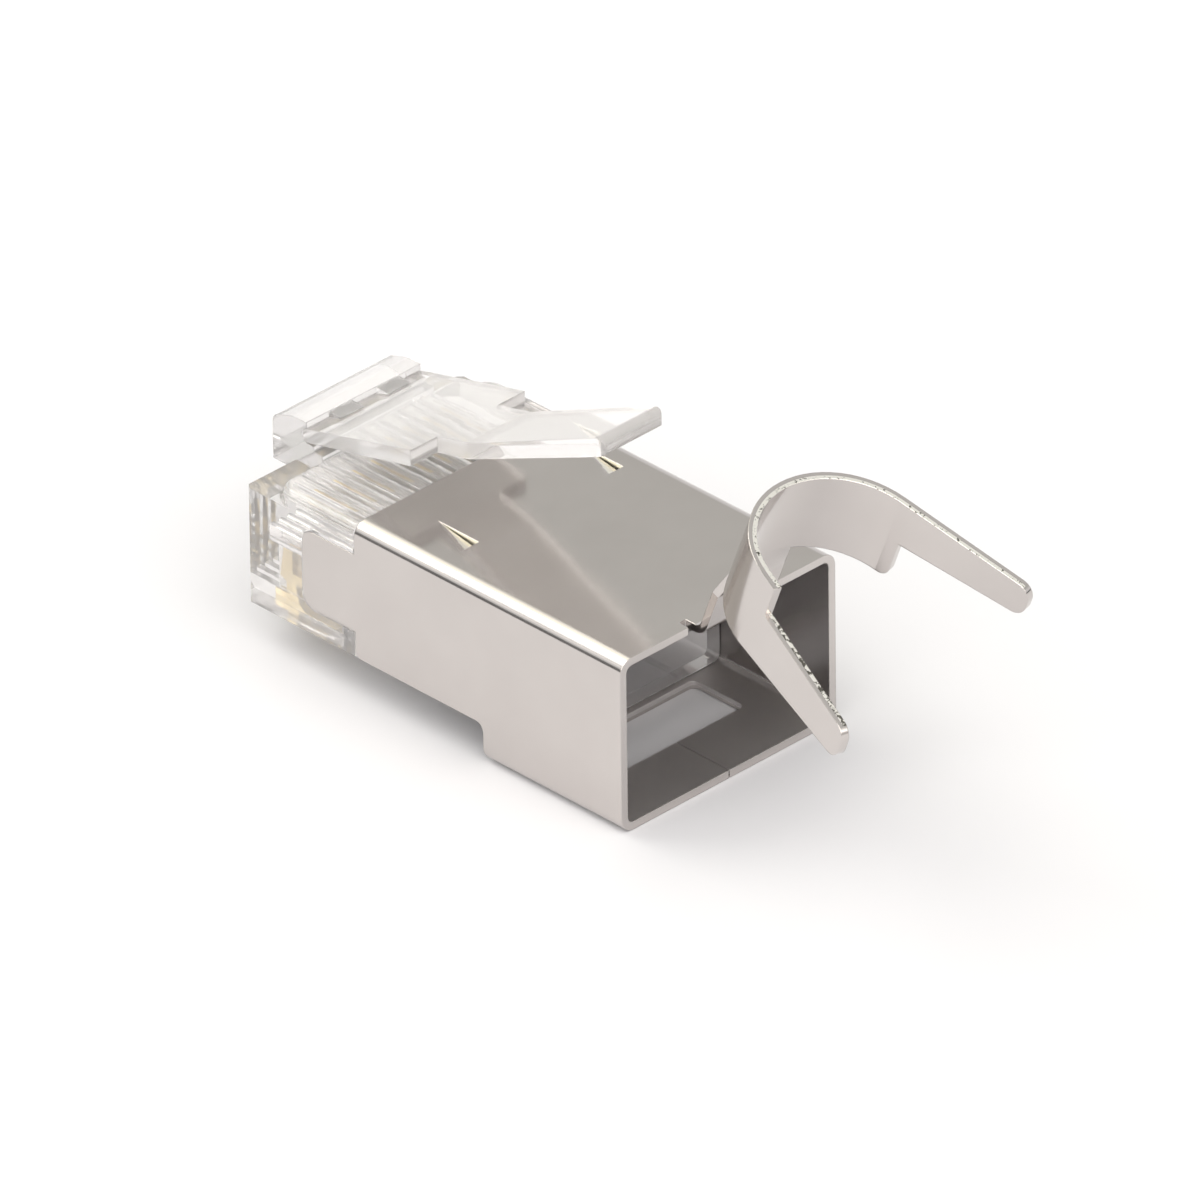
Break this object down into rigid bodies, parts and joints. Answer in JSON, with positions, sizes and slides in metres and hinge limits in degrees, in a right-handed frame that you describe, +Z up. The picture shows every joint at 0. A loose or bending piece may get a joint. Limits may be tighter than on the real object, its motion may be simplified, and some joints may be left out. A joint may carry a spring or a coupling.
{
  "type": "modular plug",
  "caption": "Shielded modular plug with a clear nose, gold contacts, a sprung latch and a folded saddle clip for the cable.",
  "frame": {"origin": "on the resting surface under the middle of the whole length, centred across the width", "axes": "+Y towards the nose that enters the jack, +X across the plug, +Z up with the latch on top"},
  "size_m": [0.0116, 0.0336, 0.0146],
  "materials": {
    "clear_plastic": "clear, glossy",
    "plated_sheet": "bright nickel plating, near mirror",
    "gold_plating": "pale gold plating"
  },
  "bodies": {
    "plug": {"housing": "clear_plastic", "shield": "plated_sheet", "contact_1": "gold_plating", "contact_2": "gold_plating", "contact_3": "gold_plating", "contact_4": "gold_plating", "contact_5": "gold_plating", "contact_6": "gold_plating", "contact_7": "gold_plating", "contact_8": "gold_plating"},
    "latch": {"latch_lever": "clear_plastic"}
  },
  "joints": [
    {"name": "latch_press", "type": "hinge", "parent": "plug", "child": "latch", "pos_m": [0, 0.01479, 0.0083], "axis": [1, 0, 0], "range_deg": [0, 13], "stiffness_Nm_per_rad": 0.1}
  ]
}
